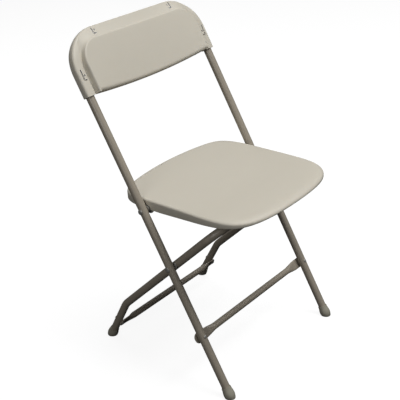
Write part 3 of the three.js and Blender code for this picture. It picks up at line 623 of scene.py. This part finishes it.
def seat_shell():
    """Rings from the middle of the top, out over the rolled edge, down the skirt, round its lip and back
    along the underside. The top is the rim's height less a dish that fades to nothing on the way out, and the
    roll is a quarter ellipse, wider at the front and the rear than at the sides."""
    edge = seat_outline(300)
    ahead = unit(np.roll(edge, -1, axis=0) - np.roll(edge, 1, axis=0))
    out = np.stack([ahead[:, 1], -ahead[:, 0]], axis=-1)
    middle = np.array([0.0, (SEAT_FRONT_Y + SEAT_REAR_Y) / 2])
    forward = np.clip((middle[1] - edge[:, 1]) / (middle[1] - SEAT_FRONT_Y), 0, 1) ** 2
    back = np.clip((edge[:, 1] - SEAT_REAR_Y + 105) / 60, 0, 1)
    roll_w, roll_h = 6.0 + 12.0 * forward + 6.0 * back, 5.0 + 3.5 * forward + 4.0 * back
    length = SEAT_REAR_Y - SEAT_FRONT_Y
    climb = np.clip((SEAT_REAR_Y - 0.4 * length - edge[:, 1]) / (0.6 * length), 0, 1)
    lip = SEAT_RIM_Z - SKIRT_REAR - (SKIRT_FRONT - SKIRT_REAR) * climb
    rings = []

    def ring(inset, z, share=1.0, slopes=True):
        line = middle + share * (edge - np.reshape(inset, (-1, 1)) * out - middle)
        fall = np.clip((SEAT_FRONT_Y + FRONT_FALL_FROM - line[:, 1]) / FRONT_FALL_FROM, 0, 1) ** 2
        rings.append(np.concatenate([line, (z - slopes * FRONT_FALL * fall)[:, None]], axis=1))

    spread = np.linspace(0, 1, 20)
    for share in spread:
        ring(roll_w, SEAT_RIM_Z - SEAT_DISH * (1 - share ** 2) ** 2, share)
    for angle in np.linspace(0, math.pi / 2, 10)[1:]:
        ring(roll_w * (1 - math.sin(angle)), SEAT_RIM_Z - roll_h * (1 - math.cos(angle)))
    for inset, z in ((0.0, lip + 1.2), (0.35, lip + 0.35), (1.2, lip), (SEAT_WALL - 0.8, lip),
                     (SEAT_WALL, lip + 0.8)):
        ring(inset, z, slopes=False)
    ring(SEAT_WALL, UNDERSIDE_Z - roll_h - 1.0)
    ring(SEAT_WALL + 0.3 * roll_w, UNDERSIDE_Z - 0.3 * roll_h - 0.6)
    for share in spread[::-1]:
        ring(roll_w + SEAT_WALL, UNDERSIDE_Z - SEAT_DISH * (1 - share ** 2) ** 2, share)
    return np.stack(rings)


def upright(x0, x1, y0, y1, z0, z1):
    """A block between two corners."""
    corner = np.array([(x0, y0), (x1, y0), (x1, y1), (x0, y1)], float)
    return np.stack([np.concatenate([corner, np.full((4, 1), float(z))], axis=1) for z in (z0, z1)])


def rib(x, half, y0, y1, drop):
    """A rib with drafted sides: its foot is thinner than its root, which is buried in the skin."""
    root, foot = (upright(x - w, x + w, y0 + e, y1 - e, UNDERSIDE_Z - drop, UNDERSIDE_Z + BURIED)
                  for w, e in ((half, 0.0), (half * 0.72, drop * 0.4)))
    return np.stack([foot[0], root[1]])


Z_AXIS = np.array([0.0, 0.0, 1.0])
moulded_seat = add_piece("moulded_seat", [(seat_shell(), False)], cream, sharp=50)
additions = [add_piece("rib", [(rib(x, 1.5, SEAT_FRONT_Y + 40, SEAT_REAR_Y - 60, 8.0), False)], None)
             for x in (-138, -46, 46, 138)]
rest_z = under_seat[2] + TUBE_R + 0.4
for sign in (-1, 1):
    rest = upright(sign * REST_X - REST_HALF_W, sign * REST_X + REST_HALF_W, under_seat[1] - REST_HALF_L,
                   under_seat[1] + REST_HALF_L, rest_z, UNDERSIDE_Z + BURIED)
    additions.append(add_piece("rest", [(rest, False)], None))
    for x, ys in ((SEAT_SCREW_X, SEAT_SCREWS_Y), (LINK_SCREW_X, LINK_SCREWS_Y)):
        for y in ys:
            boss = turned([(0, 0), (BOSS_R - 0.4, 0), (BOSS_R, 0.4), (BOSS_R, BOSS_DROP + 0.8),
                           (0, BOSS_DROP + 0.8)],
                          np.array([sign * x, y, UNDERSIDE_Z - BOSS_DROP]), Z_AXIS, X_AXIS, 24)
            additions.append(add_piece("boss", [(boss, False)], None))
worked(moulded_seat, "UNION", additions, sharp=50)
cuts = []
for sign in (-1, 1):
    start = seat_pivot + sign * NOTCH_FROM_X * X_AXIS
    round_end = drill(NOTCH_R, NOTCH_LENGTH, start, sign * X_AXIS, Z_AXIS, 32)
    cuts.append(add_piece("cutter", [(round_end, False)], None))
    side_x = sorted((start[0], start[0] + sign * NOTCH_LENGTH))
    slot = upright(*side_x, seat_pivot[1] - NOTCH_R, seat_pivot[1] + NOTCH_R,
                   seat_pivot[2] - 40, seat_pivot[2])
    cuts.append(add_piece("cutter", [(slot, False)], None))
    for x, ys in ((SEAT_SCREW_X, SEAT_SCREWS_Y), (LINK_SCREW_X, LINK_SCREWS_Y)):
        for y in ys:
            end = BOSS_DROP + 0.6
            hole = turned([(0, -1), (SCREW_HOLE_R, -1), (SCREW_HOLE_R, end), (0, end)],
                          np.array([sign * x, y, UNDERSIDE_Z - BOSS_DROP]), Z_AXIS, X_AXIS, 16)
            cuts.append(add_piece("cutter", [(hole, False)], None))
worked(moulded_seat, "DIFFERENCE", cuts, sharp=50)
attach(moulded_seat, "seat")
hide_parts("seat_shell")

# ---- rivets and spacers ----
# Domed steel rivets pass through the legs at the crossing, the seat pivots and the braces. Plated rings keep
# the moving pieces apart: a spacer at each crossing and a bush through a notch in the seat's skirt.


def plated_steel(name, bright, dull, rough):
    """Zinc-plated steel gone dull: patches of different brightness, faint drawn lines and spots of wear."""
    finish, shader, place = new_finish(name, Metallic=0.35, Specular_IOR_Level=0.5)
    patch = ramp(noise(place, 75.0, 4.0), [(0.3, 0.0), (0.7, 1.0)])
    lines = ramp(noise(stretched(place, (40, 900, 900)), 1.0, 2.0), [(0.35, 0.0), (0.65, 1.0)])
    spots = ramp(noise(place, 330.0, 3.0), [(0.6, 0.0), (0.72, 1.0)])
    base = blended(patch * 0.6, bright, dull)
    base = blended(spots * 0.35, base, dull)
    plug_in(shader, base, rough + patch * 0.1 + lines * 0.06 + spots * 0.15, lines + spots * 0.4, 0.00003)
    return finish


def rivet(foot, axis, across, reach, shank, head, tail):
    """A rivet's profile turned about its axis: a domed head, the shank, and a flatter formed tail. The dome's
    radius and height follow the cosine and sine of the same angle."""
    angle = np.linspace(math.pi / 2, 0, 9)
    dome = np.stack([head * np.cos(angle), reach[1] + 2.5 * np.sin(angle)], -1)
    formed = np.stack([tail * np.cos(angle[::-1]), reach[0] - 1.4 * np.sin(angle[::-1])], -1)
    return turned(np.concatenate([dome, [(shank, reach[1]), (shank, reach[0])], formed]), foot, axis, across)


def ring_of(inner, outer, start, end, centre, axis, across, edge=0.5):
    """A ring turned from a section with its four corners broken."""
    profile = [(inner, start + edge), (inner + edge, start), (outer - edge, start), (outer, start + edge),
               (outer, end - edge), (outer - edge, end), (inner + edge, end), (inner, end - edge)]
    return turned(profile, centre, axis, across, 40)


rivet_steel = plated_steel("rivet_steel", colour(172, 170, 164), colour(140, 138, 132), 0.3)
bright_steel = plated_steel("bracket_steel", colour(164, 162, 156), colour(128, 127, 122), 0.36)
BRACKET_T = 2.0
SEAT_BRACKET_X = 181.2
outside, inside = HALF_SPACING + TUBE_R + GAP, HALF_SPACING - TUBE_R - GAP
for side, sign in (("right", -1), ("left", 1)):
    out = sign * X_AXIS
    front_at = on_long_tube(0.0, FRONT_BRACE_S, 0.0) + HALF_SPACING * out
    rear_at = knee - REAR_BRACE_BELOW_KNEE * UP_SHIN + REAR_HALF_SPACING * out
    through_tubes = (REAR_HALF_SPACING - TUBE_R - GAP, outside)
    through_bracket = (SEAT_BRACKET_X - BRACKET_T - GAP, outside)
    through_brace = (-TUBE_R - GAP, BRACE_OFFSET + FLAT_HALF_T + GAP)
    pins = (("crossing_rivet", crossing, out, Z_AXIS, through_tubes, 3.1, 6.5, 5.5, "frame"),
            ("seat_pivot_rivet", seat_pivot, out, Z_AXIS, through_bracket, 3.1, 6.5, 5.5, "frame"),
            ("front_brace_rivet", front_at, -AHEAD_OF_TUBE, X_AXIS, through_brace, 2.8, 5.0, 4.0, "frame"),
            ("rear_brace_rivet", rear_at, AHEAD_OF_SHIN, X_AXIS, through_brace, 2.8, 5.0, 4.0, "rear_legs"))
    for name, at, axis, across, reach, shank, head, tail, body in pins:
        profile = rivet(at, axis, across, reach, shank, head, tail)
        piece = add_piece(f"{name}_steel_{side}", [(profile, False)], rivet_steel)
        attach(piece, body)
        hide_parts(f"{name}_{side}")
    for name, centre, inner, outer, start in (
            ("crossing_spacer", crossing, 3.5, 10.5, REAR_HALF_SPACING + TUBE_R + GAP),
            ("seat_pivot_bush", seat_pivot, 3.5, 7.0, SEAT_BRACKET_X + GAP)):
        piece = add_piece(f"{name}_ring_{side}", [
            (ring_of(inner, outer, start, inside, centre, out, Z_AXIS), True)], bright_steel)
        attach(piece, "frame")
        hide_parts(f"{name}_{side}")

# ---- seat brackets ----
# Steel angles pressed from 2 mm strip and screwed up into the seat's bosses: an outer pair that turns on the
# seat pivots, and an inner pair that carries the pins of the fold links.
LINK_X = 112.2
LINK_T = 3.0
BEND_R = 3.0
SHELF_Z = UNDERSIDE_Z - BOSS_DROP - GAP


def plate(outline, near, thickness, edge=0.35):
    """A flat plate in planes of equal x from an outline of (y, z): its rims are drawn in by the edge's width
    along the outline's normal, which breaks its corners."""
    outline = np.asarray(outline, float)
    along = unit(np.roll(outline, -1, axis=0) - np.roll(outline, 1, axis=0))
    out = np.stack([along[:, 1], -along[:, 0]], axis=-1)
    area = np.sum(outline[:, 0] * np.roll(outline[:, 1], -1) - np.roll(outline[:, 0], -1) * outline[:, 1])
    out = out * np.sign(area)
    levels = ((0.0, edge), (edge, 0.0), (thickness - edge, 0.0), (thickness, edge))
    return np.stack([np.concatenate([np.full((len(outline), 1), near + x), outline - inset * out], axis=1)
                     for x, inset in levels])


def angle_section(face, shelf_to, low):
    """The strip's section across the chair: up the flange, round a bend and along the shelf, and back."""
    inward, reach = np.sign(shelf_to - face), abs(shelf_to - face)
    turn = np.linspace(0, math.pi / 2, 7)
    bend = np.stack([BEND_R - BEND_R * np.cos(turn), SHELF_Z - BEND_R + BEND_R * np.sin(turn)], -1)
    back, tight_r = turn[::-1], BEND_R - BRACKET_T
    tight = np.stack([BEND_R - tight_r * np.cos(back), SHELF_Z - BEND_R + tight_r * np.sin(back)], -1)
    tip = [(reach - 0.4, SHELF_Z), (reach, SHELF_Z - 0.4), (reach, SHELF_Z - BRACKET_T + 0.4),
           (reach - 0.4, SHELF_Z - BRACKET_T)]
    line = np.concatenate([[(0, low)], bend, tip, tight, [(BRACKET_T, low)]])
    return np.stack([face + inward * line[:, 0], line[:, 1]], -1)


def angle_bracket(name, face, shelf_to, y0, y1, low, pin, lug_r, hole_r, sign, screw_x, screws_y):
    """The strip's section carried along y, a round lug joined to its flange, and its holes cut."""
    section = angle_section(face, shelf_to, low)
    grid = np.stack([np.stack([sign * section[:, 0], np.full(len(section), y), section[:, 1]], -1)
                     for y in (y0, y0 + 0.4, y1 - 0.4, y1)])
    near, far = sorted((face, face + np.sign(shelf_to - face) * BRACKET_T))
    near, far = sorted((sign * near, sign * far))
    piece = add_piece(name, [(grid, False)], bright_steel)
    angle = np.linspace(math.pi, 2 * math.pi, 30)
    bottom = np.stack([pin[1] + lug_r * np.cos(angle), pin[2] + lug_r * np.sin(angle)], -1)
    shoulder = SHELF_Z - 3.5
    lug = np.concatenate([[(pin[1] - lug_r, shoulder)], bottom, [(pin[1] + lug_r, shoulder)]])
    worked(piece, "UNION", [add_piece("lug", [(plate(lug, near, far - near, 0.02), False)], bright_steel)])
    holes = [drill(hole_r, 12.0, np.array([near - 5, pin[1], pin[2]]), X_AXIS, Z_AXIS, 28)]
    for y in screws_y:
        below = np.array([sign * screw_x, y, SHELF_Z - 6])
        holes.append(drill(SCREW_HOLE_R, 12.0, below, Z_AXIS, X_AXIS, 20))
    return worked(piece, "DIFFERENCE", [add_piece("cutter", [(hole, False)], None) for hole in holes])


def screw(x, y):
    """A pan-head screw turned from its profile: head, shank and blunt tip."""
    head = SHELF_Z - BRACKET_T - GAP
    profile = [(0, -2.3), (1.6, -2.25), (2.8, -1.95), (3.6, -1.4), (4.0, -0.6), (4.0, 0), (1.7, 0),
               (1.7, 5.4), (0, 6.2)]
    return turned(profile, np.array([x, y, head]), Z_AXIS, X_AXIS, 28)


for side, sign in (("right", -1), ("left", 1)):
    for name, face, shelf_to, y0, y1, low, pin, lug_r, hole_r, screw_x, screws_y in (
            ("seat_bracket", SEAT_BRACKET_X, SEAT_SCREW_X - 8, SEAT_SCREWS_Y[0] - 9, seat_pivot[1] + 12,
             seat_pivot[2] - 2, seat_pivot, 13.5, 3.5, SEAT_SCREW_X, SEAT_SCREWS_Y),
            ("link_bracket", LINK_X + LINK_T + GAP, LINK_SCREW_X + 8, LINK_SCREWS_Y[0] - 9,
             LINK_SCREWS_Y[1] + 9, seat_pivot[2] - 9, LINK_PIN, 7.0, 2.9, LINK_SCREW_X, LINK_SCREWS_Y)):
        piece = angle_bracket(f"{name}_angle_{side}", face, shelf_to, y0, y1, low, pin, lug_r, hole_r, sign,
                              screw_x, screws_y)
        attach(piece, "seat")
        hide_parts(f"{name}_{side}")
        for end, y in zip(("front", "rear"), screws_y):
            x = sign * screw_x
            driver = []
            for w, d in ((2.2, 0.45), (0.45, 2.2)):
                recess = upright(x - w, x + w, y - d, y + d, SHELF_Z - 6.0, SHELF_Z - 3.4)
                driver.append(add_piece("cutter", [(recess, False)], None))
            piece = add_piece(f"{name}_pan_screw_{side}_{end}", [(screw(x, y), False)], rivet_steel)
            worked(piece, "DIFFERENCE", driver)
            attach(piece, "seat")
            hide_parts(f"{name}_screw_{side}_{end}")

# ---- fold links and their pins ----
# Two steel straps hang from the run under the seat by round eyes, and their other ends sit beside the inner
# brackets' pins: they lift the seat as the rear legs close.
LINK_LENGTH = 84.11
EYE_R = 13.5
TIP_R = 5.5


def fold_link(near):
    """The strap as a ring round its eye: its section is a rectangle with broken corners between the eye's
    circle and the outline, which is two arcs joined by their common tangents, at the same angle about the
    eye."""
    along = unit(LINK_PIN[1:] - under_seat[1:])
    beside = np.array([-along[1], along[0]])
    lean = math.acos((EYE_R - TIP_R) / LINK_LENGTH)
    big, small = np.linspace(lean, 2 * math.pi - lean, 60), np.linspace(-lean, lean, 24)
    outline = np.concatenate([EYE_R * np.stack([np.cos(big), np.sin(big)], -1),
                              TIP_R * np.stack([np.cos(small), np.sin(small)], -1) + [LINK_LENGTH, 0]])
    away = unit(outline)
    eye = (TUBE_R + GAP + 0.05) * away
    corners = ((0.4, eye), (0.0, eye + 0.4 * away), (0.0, outline - 0.4 * away), (0.4, outline))
    section = corners + tuple((LINK_T - x, line) for x, line in corners[::-1])
    grid = []
    for x, line in section:
        yz = under_seat[1:] + line[:, :1] * along + line[:, 1:] * beside
        grid.append(np.concatenate([np.full((len(line), 1), near + x), yz], axis=1))
    return np.stack(grid, axis=1)


for side, sign in (("right", -1), ("left", 1)):
    near = LINK_X if sign > 0 else -LINK_X - LINK_T
    link = add_piece(f"fold_link_strap_{side}", [(fold_link(near), True)], bright_steel)
    hole = drill(3.0, 12.0, np.array([near - 4, *LINK_PIN[1:]]), X_AXIS, Z_AXIS, 28)
    worked(link, "DIFFERENCE", [add_piece("cutter", [(hole, False)], None)])
    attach(link, "fold_links")
    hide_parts(f"fold_link_{side}")
    start = LINK_X + LINK_T + GAP
    profile = [(0, LINK_X - 1.4), (1.4, LINK_X - 1.35), (2.3, LINK_X - 0.9), (2.5, LINK_X - 0.4),
               (2.5, start + 2.3), (4.6, start + 2.3), (4.6, start + 3.0), (4.1, start + 3.9),
               (2.8, start + 4.6), (0, start + 4.8)]
    pin = add_piece(f"link_pin_steel_{side}", [
        (turned(profile, np.array([0.0, *LINK_PIN[1:]]), sign * X_AXIS, Z_AXIS, 32), False)], rivet_steel)
    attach(pin, "seat")
    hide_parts(f"link_pin_{side}")

# ---- floor, light and camera ----
# A plain white floor, a broad soft light above and in front, and weaker ones at the chair's right and behind
# it. Floor and room look white but throw little light back, so the space under the seat falls into shade.


def seen_or_felt(tree, seen, felt, kind):
    """A shader that is one thing to the eye and another to the light that bounces off it."""
    path = tree.nodes.new("ShaderNodeLightPath")
    mix = tree.nodes.new("ShaderNodeMixShader")
    tree.links.new(path.outputs["Is Camera Ray"], mix.inputs[0])
    for slot, (shade, strength) in ((2, seen), (1, felt)):
        shader = tree.nodes.new(kind)
        shader.inputs["Color"].default_value = (shade, shade, shade, 1.0)
        if "Strength" in shader.inputs:
            shader.inputs["Strength"].default_value = strength
        tree.links.new(shader.outputs[0], mix.inputs[slot])
    return mix


floor_mesh = bpy.data.meshes.new("floor")
floor_mesh.from_pydata([(x, y, -0.0005) for x, y in ((-9, -9), (9, -9), (9, 9), (-9, 9))], [], [(0, 1, 2, 3)])
floor = bpy.data.objects.new("floor", floor_mesh)
bpy.context.scene.collection.objects.link(floor)
floor_paint = bpy.data.materials.new("floor_paint")
floor_paint.use_nodes = True
floor_tree = floor_paint.node_tree
floor_mix = seen_or_felt(floor_tree, (0.2, 1.0), (0.03, 1.0), "ShaderNodeBsdfDiffuse")
glow = floor_tree.nodes.new("ShaderNodeEmission")
glow.inputs["Strength"].default_value = 0.9
both = floor_tree.nodes.new("ShaderNodeAddShader")
lit = floor_tree.nodes.new("ShaderNodeLightPath")
only_seen = floor_tree.nodes.new("ShaderNodeMixShader")
floor_tree.links.new(lit.outputs["Is Camera Ray"], only_seen.inputs[0])
floor_tree.links.new(glow.outputs[0], only_seen.inputs[2])
floor_tree.links.new(floor_mix.outputs[0], both.inputs[0])
floor_tree.links.new(only_seen.outputs[0], both.inputs[1])
floor_tree.links.new(both.outputs[0], floor_tree.nodes["Material Output"].inputs["Surface"])
floor_mesh.materials.append(floor_paint)


def soft_light(name, at, target, width, power):
    """A square area light turned to face a point."""
    lamp = bpy.data.lights.new(name, "AREA")
    lamp.size, lamp.energy = width, power
    holder = bpy.data.objects.new(name, lamp)
    holder.location = at
    holder.rotation_euler = (Vector(target) - Vector(at)).to_track_quat("-Z", "Y").to_euler()
    bpy.context.scene.collection.objects.link(holder)


soft_light("key", (0.9, -1.5, 4.0), (0.0, 0.0, 0.45), 2.4, 146.0)
soft_light("near_fill", (-3.0, -0.9, 2.0), (0.0, 0.0, 0.5), 1.4, 25.0)
soft_light("back_fill", (0.8, 3.0, 2.4), (0.0, 0.0, 0.45), 1.6, 14.0)
sky = bpy.data.worlds.new("studio")
bpy.context.scene.world = sky
sky.use_nodes = True
sky_mix = seen_or_felt(sky.node_tree, (1.0, 1.0), (1.0, 0.06), "ShaderNodeBackground")
sky.node_tree.links.new(sky_mix.outputs[0], sky.node_tree.nodes["World Output"].inputs["Surface"])
bpy.context.scene.view_settings.view_transform = "Standard"

camera_data = bpy.data.cameras.new("camera")
camera_data.lens, camera_data.sensor_width = 76.5, 36.0
camera = bpy.data.objects.new("camera", camera_data)
camera_at = Vector((-1.3651, -1.1691, 1.2524))
look = Vector((0.671118, 0.594786, -0.442527))
turn = look.to_track_quat("-Z", "Y").to_matrix() @ Matrix.Rotation(math.radians(-3.982), 3, "Z")
camera.matrix_world = Matrix.Translation(camera_at) @ turn.to_4x4()
bpy.context.scene.collection.objects.link(camera)
bpy.context.scene.camera = camera
